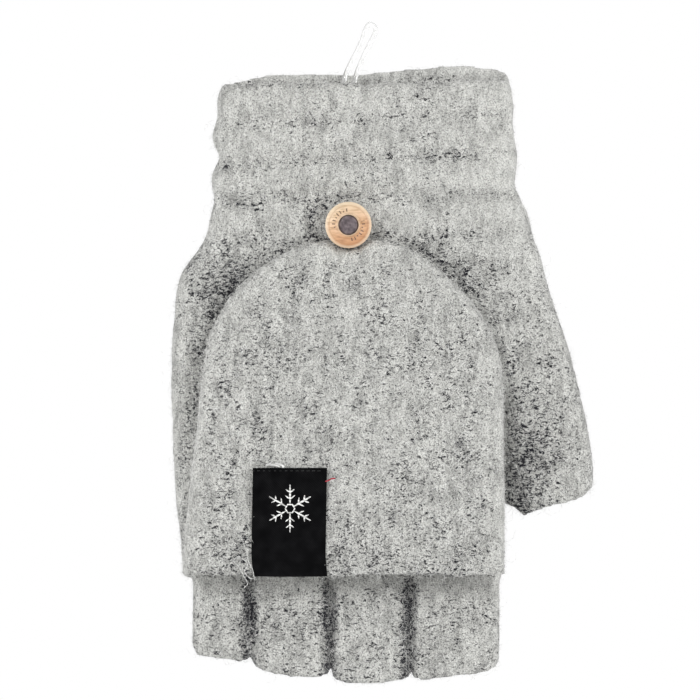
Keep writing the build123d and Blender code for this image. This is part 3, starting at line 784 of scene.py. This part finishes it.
# ---------------------------------------------------------------- fibres of the brushed surface
def fibre_tree():
    """Short curved fibres scattered over a surface, most of them lying down."""
    tree = bpy.data.node_groups.new("scatter_fibres", "GeometryNodeTree")
    face = tree.interface
    face.new_socket(name="Geometry", in_out="INPUT", socket_type="NodeSocketGeometry")
    for label, kind, value in (("Density", "Float", 1.0), ("Length", "Float", 0.003),
                               ("Width", "Float", 0.03), ("Lift", "Float", 0.3), ("Curl", "Float", 0.35),
                               ("Seed", "Int", 1)):
        face.new_socket(name=label, in_out="INPUT", socket_type="NodeSocket" + kind).default_value = value
    face.new_socket(name="Material", in_out="INPUT", socket_type="NodeSocketMaterial")
    face.new_socket(name="Geometry", in_out="OUTPUT", socket_type="NodeSocketGeometry")
    inp, out = tree.nodes.new("NodeGroupInput"), tree.nodes.new("NodeGroupOutput")
    fuzz = put(tree, "GeometryNodeInputNamedAttribute", {"data_type": "FLOAT"}, Name="fuzz")
    thick = times(tree, fuzz.outputs[0], inp.outputs["Density"])
    points = put(tree, "GeometryNodeDistributePointsOnFaces", {"distribute_method": "RANDOM"},
                 Mesh=inp.outputs["Geometry"], Density=thick, Seed=inp.outputs["Seed"])
    middle = put(tree, "ShaderNodeCombineXYZ", i0=0.5, i1=inp.outputs["Curl"], i2=0.16)
    strand = put(tree, "GeometryNodeCurveQuadraticBezier", Resolution=3, Start=(0, 0, -0.03),
                 Middle=middle.outputs[0], End=(1.0, 0.0, 0.10))
    half = put(tree, "ShaderNodeCombineXYZ", i0=inp.outputs["Width"], i1=0.0, i2=0.0)
    profile = put(tree, "GeometryNodeCurvePrimitiveLine", Start=(0, 0, 0), End=half.outputs[0])
    ribbon = put(tree, "GeometryNodeCurveToMesh", Curve=strand.outputs[0], i1=profile.outputs[0])
    lift = times(tree, inp.outputs["Lift"], -1.0)
    low = put(tree, "ShaderNodeCombineXYZ", i0=-0.7, i1=lift, i2=0.0)
    high = put(tree, "ShaderNodeCombineXYZ", i0=0.7, i1=0.12, i2=FULL_TURN)
    turn = put(tree, "FunctionNodeRandomValue", {"data_type": "FLOAT_VECTOR"}, i0=low.outputs[0],
               i1=high.outputs[0], Seed=inp.outputs["Seed"])
    spin = put(tree, "FunctionNodeEulerToRotation", i0=turn.outputs[0])
    both = put(tree, "FunctionNodeRotateRotation", {"rotation_space": "LOCAL"}, i0=points.outputs["Rotation"],
               i1=spin.outputs[0])
    size = put(tree, "FunctionNodeRandomValue", {"data_type": "FLOAT"}, i2=0.45, i3=1.5,
               Seed=inp.outputs["Seed"])
    length = times(tree, size.outputs[1], inp.outputs["Length"])
    scattered = put(tree, "GeometryNodeInstanceOnPoints", Points=points.outputs["Points"],
                    Instance=ribbon.outputs[0], Rotation=both.outputs[0], Scale=length)
    real = put(tree, "GeometryNodeRealizeInstances", i0=scattered.outputs[0])
    painted = put(tree, "GeometryNodeSetMaterial", Geometry=real.outputs[0], Material=inp.outputs["Material"])
    tree.links.new(painted.outputs[0], out.inputs["Geometry"])
    return tree


FIBRES = fibre_tree()
PER_SQUARE_MM = 1e6
QUICK_SHARE = 1.0
FLUFF = {"glove": 0.50, "thumb": 0.6, "cap": 0.75}  # how thick the down is on each body
FIBRE_KINDS = (  # name, material, fibres on a square mm, length, width, lift, curl, seed
    ("down", PALE_FIBRE, 0.95, 2.0, 0.022, 0.35, 0.5, SEED),
    ("short_down", PALE_FIBRE, 0.95, 1.3, 0.035, 0.5, -0.5, SEED + 5),
    ("dark_down", DARK_FIBRE, 0.6, 0.62, 0.12, 0.45, 0.5, SEED + 9),
    ("stray_hair", PALE_FIBRE, 0.035, 4.2, 0.011, 0.6, 0.8, SEED + 14),
)


def grow(name, skin, material, density, length, width, lift, curl, seed):
    """Scatters fibres over a skin and returns them as a plain mesh of their own."""
    modifier = skin.modifiers.new("fibres", "NODES")
    modifier.node_group = FIBRES
    ids = {item.name: item.identifier for item in FIBRES.interface.items_tree
           if item.item_type == "SOCKET" and item.in_out == "INPUT"}
    for label, value in (("Density", density * PER_SQUARE_MM), ("Length", length * MM), ("Width", width),
                         ("Lift", lift), ("Curl", curl), ("Seed", seed), ("Material", material)):
        modifier[ids[label]] = value
    skin.update_tag()
    graph = bpy.context.evaluated_depsgraph_get()
    mesh = bpy.data.meshes.new_from_object(skin.evaluated_get(graph))
    mesh.name = name
    skin.modifiers.remove(modifier)
    obj = bpy.data.objects.new(name, mesh)
    bpy.context.scene.collection.objects.link(obj)
    return obj


fibre_pieces = []
for skin, body in ((glove_skin, "glove"), (thumb_skin, "thumb"), (cap_skin, "cap")):
    for kind, material, density, *shape in FIBRE_KINDS:
        share = 1.0 if kind == "stray_hair" else FLUFF[body]
        piece = grow(f"{body}_{kind}", skin, material, density * share * QUICK_SHARE, *shape)
        fibre_pieces.append((piece, body))


# ---------------------------------------------------------------- threads
def spline(points, between=8):
    """A Catmull-Rom line through the points."""
    p = np.asarray(points, float)
    p = np.vstack([2 * p[0] - p[1], p, 2 * p[-1] - p[-2]])
    line = []
    for i in range(1, len(p) - 2):
        for t in np.linspace(0, 1, between, endpoint=False):
            line.append(0.5 * ((2 * p[i]) + (p[i + 1] - p[i - 1]) * t
                               + (2 * p[i - 1] - 5 * p[i] + 4 * p[i + 1] - p[i + 2]) * t ** 2
                               + (3 * p[i] - p[i - 1] - 3 * p[i + 1] + p[i + 2]) * t ** 3))
    line.append(p[-2])
    return np.array(line)


def tube_along(line, radius, sides=6, closed=False, flatten=None):
    """A tube's points and faces along a line; flatten squeezes it along a direction."""
    line = np.asarray(line, float)
    number = len(line)
    forward = np.roll(line, -1, 0) - np.roll(line, 1, 0)
    if not closed:
        forward[0], forward[-1] = line[1] - line[0], line[-1] - line[-2]
    forward /= np.maximum(np.linalg.norm(forward, axis=1), 1e-9)[:, None]
    side = np.cross(forward, (0.05, 1.0, 0.02))
    side /= np.maximum(np.linalg.norm(side, axis=1), 1e-9)[:, None]
    up = np.cross(side, forward)
    radii = np.full(number, radius)
    if not closed:
        radii[[0, -1]] *= 0.45
    angles = np.arange(sides) * 2 * np.pi / sides
    cos, sin = np.cos(angles)[None, :, None], np.sin(angles)[None, :, None]
    verts = line[:, None] + radii[:, None, None] * (cos * side[:, None] + sin * up[:, None])
    if flatten is not None:
        verts = line[:, None] + (verts - line[:, None]) * np.asarray(flatten)
    faces = []
    for i in range(number if closed else number - 1):
        for j in range(sides):
            a, b = i * sides, ((i + 1) % number) * sides
            faces.append([a + j, b + j, b + (j + 1) % sides, a + (j + 1) % sides])
    if not closed:
        faces.append(list(range(sides)))
        faces.append([(number - 1) * sides + j for j in reversed(range(sides))])
    return verts.reshape(-1, 3), faces


def make_tubes(name, parts, material):
    """One piece from several tubes, each given as its points and faces."""
    verts, faces, base = [], [], 0
    for v, f in parts:
        verts.append(v)
        faces += [[i + base for i in face] for face in f]
        base += len(v)
    return make_mesh(name, np.vstack(verts), faces, material)


def fix_outwards(obj):
    """Turns every face of a closed piece outwards."""
    shape = bmesh.new()
    shape.from_mesh(obj.data)
    bmesh.ops.recalc_face_normals(shape, faces=shape.faces)
    shape.to_mesh(obj.data)
    shape.free()


def thread_material(name, colour, gap=0.55, scale=2600.0):
    """Twisted thread: fine slanting plies, with painted shade darkening the grooves between them."""
    material, tree, surface = new_material(name, 0.75, colour)
    place = put(tree, "ShaderNodeTexCoord").outputs["Object"]
    turned = put(tree, "ShaderNodeMapping", Vector=place, Rotation=(0.3, 0.7, 0.4))
    plies = put(tree, "ShaderNodeTexWave", {"bands_direction": "DIAGONAL"}, Vector=turned.outputs[0],
                Scale=scale / 6, Distortion=1.5, Detail=1.0)
    # Painted shade: gap sets how dark the grooves between the plies are.
    tint = ramp(tree, plies.outputs["Fac"], list(zip((0.0, 0.6, 1.0), shades(colour, gap))))
    tree.links.new(tint.outputs[0], surface.inputs["Base Color"])
    bump(tree, surface, plies.outputs["Fac"], 0.5, 0.0001)
    surface.inputs["Sheen Weight"].default_value = 0.2
    surface.inputs["Specular IOR Level"].default_value = 0.25
    return material


WHITE_THREAD = thread_material("white_thread", (0.86, 0.86, 0.84))
BLACK_THREAD = thread_material("black_thread", (0.006, 0.006, 0.007))
RED_THREAD = thread_material("red_thread", (0.45, 0.03, 0.05))
GREY_YARN = thread_material("grey_yarn", (0.50, 0.50, 0.48), 0.35, 1500.0)
LOOP_CORD = thread_material("loop_cord", (0.40, 0.39, 0.37), 0.4, 3000.0)
BROWN_THREAD = thread_material("button_thread", (0.33, 0.27, 0.21), 0.4, 3000.0)
ELASTIC = thread_material("elastic", (0.62, 0.61, 0.58), 0.5, 1800.0)


# ---------------------------------------------------------------- label
LABEL_THREADS = 2600.0  # threads to a metre


def label_material():
    """Black satin ribbon with a fine twill."""
    material, tree, surface = new_material("label_weave", 0.62, (0.012, 0.012, 0.013))
    place = put(tree, "ShaderNodeTexCoord").outputs["Object"]
    split = put(tree, "ShaderNodeSeparateXYZ", Vector=place)
    across = times(tree, split.outputs[0], LABEL_THREADS)
    down = times(tree, split.outputs[2], LABEL_THREADS)
    warp = math_node(tree, "SINE", times(tree, math_node(tree, "ADD", across, down), HALF_TURN))
    weft = math_node(tree, "SINE", times(tree, down, FULL_TURN))
    twill = math_node(tree, "MULTIPLY_ADD", weft, 0.4, warp)
    cloudy = put(tree, "ShaderNodeTexNoise", Vector=place, Scale=260.0, Detail=3.0)
    both = math_node(tree, "MULTIPLY_ADD", twill, 0.16, cloudy.outputs[0])
    tint = ramp(tree, both, [(0.2, (0.002, 0.002, 0.0024)), (0.55, (0.0045, 0.0045, 0.005)),
                             (0.9, (0.012, 0.012, 0.013))])
    tree.links.new(tint.outputs[0], surface.inputs["Base Color"])
    bump(tree, surface, twill, 0.35, 0.00008)
    surface.inputs["Specular IOR Level"].default_value = 0.02
    return material


LABEL_THICK = 0.35
LABEL_TUCK = 9.0  # how far the label's end goes up inside the cap
label_top = label_high[2] - 0.75
label_fold = label_low[2] + 1.0
label_front = label_low[1] + LABEL_THICK / 2
label_inner = label_high[1] - LABEL_THICK / 2 - 0.35


def label_path():
    """The label's middle line seen from the side, from its top edge over the hem to its end inside."""
    middle, radius = (label_front + label_inner) / 2, (label_inner - label_front) / 2
    down = [(label_front, z) for z in np.linspace(label_top, label_fold, 46)]
    over = [(middle - radius * math.cos(a), label_fold - (label_fold - label_low[2] - 0.18) * math.sin(a))
            for a in np.linspace(0, math.pi, 11)[1:-1]]
    up = [(label_inner, z) for z in np.linspace(label_fold, label_fold + LABEL_TUCK, 12)]
    return np.array(down + over + up)


def make_label():
    """The folded ribbon, 0.35 mm thick, slightly waved and bowed over the hem."""
    path = label_path()
    along = np.gradient(path, axis=0)
    along /= np.linalg.norm(along, axis=1)[:, None]
    out = np.stack([along[:, 1], -along[:, 0]], 1)
    across = np.linspace(label_low[0] + 1.2, label_high[0] - 0.15, 36)
    verts = []
    for side in (1, -1):
        for (py, pz), (oy, oz) in zip(path, out):
            on_front = np.clip((pz - label_fold) / 6, 0, 1) if abs(py - label_front) < 0.01 else 0.0
            for x in across:
                u = (x - across[0]) / (across[-1] - across[0])
                wave = 0.10 * math.sin(2.6 * u + 0.11 * pz) * on_front
                corner = 0.22 * (2 * u - 1) ** 4
                bow = 0.35 * math.sin(math.pi * u) * np.clip(1 - (pz - label_low[2]) / 12, 0, 1) - 0.1
                lean = 0.25 + 0.6 * (pz - label_top) / 34 * on_front
                thick = side * LABEL_THICK / 2
                y = py + wave + corner * on_front + thick * oy
                verts.append((x + lean, y, pz - bow * 0.5 + thick * oz))
    n, m = len(path), len(across)
    faces = []
    for i in range(n - 1):
        for j in range(m - 1):
            a = i * m + j
            faces.append([a, a + m, a + m + 1, a + 1])
            b = n * m + a
            faces.append([b, b + 1, b + m + 1, b + m])
    rim = ([j for j in range(m)] + [i * m + m - 1 for i in range(1, n)]
           + [(n - 1) * m + j for j in range(m - 2, -1, -1)] + [i * m for i in range(n - 2, 0, -1)])
    for a, b in zip(rim, rim[1:] + rim[:1]):
        faces.append([a, b, b + n * m, a + n * m])
    obj = make_mesh("woven_label", np.array(verts), faces, label_material())
    fix_outwards(obj)
    return obj


SNOWFLAKE_MIDDLE = np.array([-23.9, label_low[1] - 0.02, -138.2])
TWIG_ANGLE = math.radians(52)
FLAT_THREAD = (1, 0.5, 1)


def direction_at(angle):
    """A step of length one in the label's plane."""
    return np.array([math.cos(angle), 0, math.sin(angle)])


def make_snowflake():
    """A plain six-armed snowflake in raised white thread."""
    middle = SNOWFLAKE_MIDDLE
    parts = []
    for arm in range(6):
        angle = math.pi / 6 + arm * math.pi / 3
        out = direction_at(angle)
        parts.append(tube_along([middle + out * r for r in (1.1, 3.0, 5.2, 7.6)], 0.36, flatten=FLAT_THREAD))
        for start, length in ((3.0, 2.0), (5.1, 1.7)):
            for side in (-1, 1):
                twig = direction_at(angle + side * TWIG_ANGLE)
                line = [middle + out * start + twig * r for r in (0, length / 2, length)]
                parts.append(tube_along(line, 0.31, flatten=FLAT_THREAD))
    hexagon = [middle + 1.5 * direction_at(k * math.pi / 3) for k in range(6)]
    parts.append(tube_along(hexagon, 0.30, closed=True, flatten=FLAT_THREAD))
    obj = make_tubes("label_snowflake", parts, WHITE_THREAD)
    fix_outwards(obj)
    return obj


STITCH_PITCH, STITCH_LENGTH = 1.75, 1.1  # mm


def make_label_stitches():
    """The row of black stitches along the label's top edge."""
    parts = []
    sunk, z = label_low[1] + 0.12, label_top - 0.9
    x = label_low[0] + 1.0
    while x < label_high[0] - 1.6:
        stitch = [(x, sunk, z), (x + 0.5, label_low[1] - 0.1, z + 0.05), (x + STITCH_LENGTH, sunk, z)]
        parts.append(tube_along(stitch, 0.17))
        x += STITCH_PITCH
    return make_tubes("label_stitches", parts, BLACK_THREAD)


woven_label = make_label()
snowflake = make_snowflake()
label_stitches = make_label_stitches()


# ---------------------------------------------------------------- loose threads and the hinge seam
LOOSE_ENDS = (  # piece, material, and for each thread its points, points between them, radius and sides
    ("white_thread_ends", WHITE_THREAD, (
        ([(-31.7, -21.6, -124.5), (-30.4, -22.3, -124.2), (-28.6, -22.4, -124.5), (-27.2, -22.2, -124.9)],
         8, 0.32, 6),
        ([(-28.9, -21.6, -123.9), (-27.4, -22.3, -124.0), (-26.1, -22.3, -124.6), (-26.3, -22.2, -125.2)],
         8, 0.36, 6),
    )),
    ("loose_thread", WHITE_THREAD, (
        ([(-34.9, -22.7, -160.2), (-36.6, -23.0, -160.4), (-38.3, -23.2, -158.2), (-37.4, -23.1, -155.9),
          (-38.9, -23.2, -154.3), (-41.0, -23.2, -153.7), (-41.7, -23.0, -155.2), (-40.1, -23.1, -156.7),
          (-38.8, -23.4, -159.3), (-37.4, -23.3, -162.0), (-38.6, -23.2, -163.4)], 7, 0.10, 5),
        ([(-37.2, -22.6, -150.4), (-37.6, -23.0, -152.2), (-37.1, -23.3, -154.9), (-35.8, -23.3, -157.6),
          (-35.2, -23.2, -161.0)], 7, 0.085, 5),
    )),
    ("red_thread_end", RED_THREAD, (
        ([(-12.6, -22.0, -129.6), (-11.6, -22.6, -129.2), (-10.6, -22.7, -128.7), (-9.4, -22.2, -128.6)],
         8, 0.24, 5),
    )),
)
loose_ends = [
    make_tubes(name, [tube_along(spline(points, between), radius, sides)
                      for points, between, radius, sides in threads], material)
    for name, material, threads in LOOSE_ENDS
]


SEAM_PITCH = 1.9  # from one turn of the overcast yarn to the next


def make_hinge_seam():
    """Overcast yarn that sews the cap to the back of the hand along the hinge line."""
    seam_z = (seam_low[2] + seam_high[2]) / 2
    start, stop = seam_low[0] + 2, seam_high[0] - 0.5
    turns = (stop - start) / SEAM_PITCH
    t = np.linspace(0, 1, int(turns * 9))
    angle = 2 * np.pi * turns * t
    line = np.stack([start + (stop - start) * t, HINGE_Y + 0.22 * np.cos(angle),
                     seam_z + 0.5 * np.sin(angle)], 1)
    return make_tubes("hinge_seam", [tube_along(line, 0.26)], GREY_YARN)


def side_at(outline, z):
    """How far out one side of the hand lies at a height."""
    return np.interp(-z, [-p[1] for p in outline], [p[0] for p in outline])


def make_cuff_elastics():
    """Three flat loops inside the cuff, one in each valley of its rolls."""
    parts = []
    for ring in (1, 2, 3):
        low, high = node_box(f"cuff_elastic_{ring}")
        z = (low[2] + high[2]) / 2
        half_y = high[1] - 1.15
        left = side_at(LEFT_SIDE, z) + WALL + 0.75
        right = side_at(RIGHT_SIDE, z) - WALL - 0.75
        line = []
        for centre, start in ((right - half_y, -90), (left + half_y, 90)):
            for a in np.radians(np.linspace(start, start + 180, 13)):
                line.append((centre + half_y * math.cos(a), half_y * math.sin(a), z))
        full = []
        for a, b in zip(line, line[1:] + line[:1]):
            steps = max(1, int(np.hypot(b[0] - a[0], b[1] - a[1]) / 1.0))
            for k in range(steps):
                share = k / steps
                x = a[0] + (b[0] - a[0]) * share
                full.append((x, a[1] + (b[1] - a[1]) * share, z + 0.12 * math.sin(x * 2.1) + 0.035 * x))
        parts.append(tube_along(full, 0.55, closed=True))
    obj = make_tubes("cuff_elastics", parts, ELASTIC)
    fix_outwards(obj)
    return obj


hinge_seam = make_hinge_seam()
cuff_elastics = make_cuff_elastics()


# ---------------------------------------------------------------- button, threads and clear strap
def wood_material():
    """Turned pale wood with lighter rims and two arcs of short burnt marks, painted paler at the top left and
    darker at the bottom right as painted light and shade.
    """
    material, tree, surface = new_material("turned_wood", 0.42, (0.72, 0.47, 0.28))
    place = put(tree, "ShaderNodeTexCoord").outputs["Object"]
    centred = put(tree, "ShaderNodeMapping", Vector=place, Location=(-BUTTON_X * MM, 0, -BUTTON_Z * MM))
    split = put(tree, "ShaderNodeSeparateXYZ", Vector=centred.outputs[0])
    across, up = split.outputs[0], split.outputs[2]
    square = math_node(tree, "ADD", times(tree, across, across), times(tree, up, up))
    radius = times(tree, math_node(tree, "SQRT", square), 1 / MM)
    angle = math_node(tree, "ARCTAN2", up, across)
    stretched = put(tree, "ShaderNodeMapping", Vector=centred.outputs[0], Rotation=(0, 0.35, 0),
                    Scale=(0.16, 1.0, 1.0))
    grain = put(tree, "ShaderNodeTexNoise", Vector=stretched.outputs[0], Scale=1500.0, Detail=4.0,
                Distortion=0.4)
    broad = put(tree, "ShaderNodeTexNoise", Vector=stretched.outputs[0], Scale=320.0, Detail=2.0)
    # Painted light and shade: the wood runs from pale at the top left, towards the key light, to deep orange
    # at the bottom right.
    painted_light_slope = math_node(tree, "MULTIPLY_ADD", up, 42.0, math_node(tree, "MULTIPLY_ADD", across, -18.0, 0.5))
    lit_to_shaded_wood = ramp(tree, painted_light_slope, [(0.15, (0.52, 0.24, 0.105)), (0.42, (0.70, 0.42, 0.24)),
                              (0.8, (0.86, 0.70, 0.50))])
    fine = ramp(tree, grain.outputs[0], [(0.3, (0.66, 0.58, 0.5)), (0.55, (1, 1, 1))])
    wide = ramp(tree, broad.outputs[0], [(0.35, (0.86, 0.8, 0.74)), (0.6, (1, 1, 1))])
    colour = blend_colour(tree, 1.0, lit_to_shaded_wood.outputs[0], fine.outputs[0], "MULTIPLY")
    colour = blend_colour(tree, 1.0, colour, wide.outputs[0], "MULTIPLY")
    out_share = math_node(tree, "DIVIDE", radius, BUTTON_RADIUS)
    none, full = (0, 0, 0), (1, 1, 1)
    rims = ramp(tree, out_share, [(0.44, full), (0.53, none), (0.86, none), (0.95, full)])
    colour = blend_colour(tree, times(tree, rims.outputs[0], 0.55), colour, (0.93, 0.78, 0.58, 1))
    groove = ramp(tree, out_share, [(0.80, none), (0.835, full), (0.87, none)])
    colour = blend_colour(tree, times(tree, groove.outputs[0], 0.35), colour, (0.36, 0.17, 0.08, 1))
    ticks = math_node(tree, "GREATER_THAN", math_node(tree, "SINE", times(tree, angle, 27.0)), 0.45)
    swing = math_node(tree, "SINE", math_node(tree, "SUBTRACT", angle, 0.95))
    arcs = math_node(tree, "GREATER_THAN", math_node(tree, "ABSOLUTE", swing), 0.62)
    reach = math_node(tree, "MULTIPLY_ADD", math_node(tree, "SINE", times(tree, angle, 9.0)), 0.35, 5.1)
    band = times(tree, math_node(tree, "LESS_THAN", radius, reach),
                 math_node(tree, "GREATER_THAN", radius, 4.25))
    burnt = times(tree, times(tree, ticks, arcs), band)
    colour = blend_colour(tree, times(tree, burnt, 0.85), colour, (0.09, 0.04, 0.02, 1))
    tree.links.new(colour, surface.inputs["Base Color"])
    height = math_node(tree, "MULTIPLY_ADD", burnt, -1.0, grain.outputs[0])
    bump(tree, surface, height, 0.25, 0.0002)
    surface.inputs["Coat Weight"].default_value = 0.12
    surface.inputs["Coat Roughness"].default_value = 0.3
    return material


def inlay_material():
    """The button's dark mottled middle."""
    stops = [(0.35, (0.06, 0.045, 0.05)), (0.5, (0.12, 0.095, 0.105)), (0.66, (0.20, 0.165, 0.175))]
    return mottled("button_centre", 0.38, (0.10, 0.075, 0.085), 750.0, 3.0, stops, (0.3, 0.0002))[0]


def clear_material():
    """Clear nylon with faint milky streaks."""
    stops = [(0.35, (0.88, 0.88, 0.87)), (0.6, (0.98, 0.98, 0.98))]
    material, surface = mottled("clear_nylon", 0.16, (0.96, 0.96, 0.95), 500.0, 2.0, stops, (0.12, 0.0002))
    surface.inputs["Transmission Weight"].default_value = 0.85
    surface.inputs["IOR"].default_value = 1.45
    return material


CLEAR = clear_material()
for node, material in (("button_ring", wood_material()), ("button_inlay", inlay_material()),
                       ("button_loop", LOOP_CORD), ("loop_tack", GREY_YARN), ("shank_thread", BROWN_THREAD),
                       ("thread_knot", BROWN_THREAD), ("hang_loop", CLEAR), ("hang_pin", CLEAR)):
    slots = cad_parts[node].data.materials
    if slots:
        slots[0] = material
    else:
        slots.append(material)


# ---------------------------------------------------------------- bodies
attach(glove_skin, "glove")
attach(cap_skin, "cap")
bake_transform(thumb_skin)
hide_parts("cuff", "hand_body", "knuckle_web", "little_sleeve", "ring_sleeve", "middle_sleeve",
            "index_sleeve")
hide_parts("thumb_sleeve")
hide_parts("cap_back_layer", "cap_front_layer")
for piece, body in fibre_pieces:
    if body == "thumb":
        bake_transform(piece)
    else:
        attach(piece, body)

white_thread_ends, loose_thread, red_thread_end = loose_ends
for piece, body, slot in (
    (woven_label, "cap", "label_weave"), (snowflake, "cap", "label_thread"),
    (label_stitches, "cap", "label_thread"), (white_thread_ends, "cap", "label_thread"),
    (loose_thread, "cap", "label_thread"), (red_thread_end, "cap", "label_thread"),
    (hinge_seam, "glove", "wool"), (cuff_elastics, "glove", "elastic"),
):
    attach(piece, body)
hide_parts("label")
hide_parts("label_stitching")
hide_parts("knuckle_seam")
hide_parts("cuff_elastic_1", "cuff_elastic_2", "cuff_elastic_3")
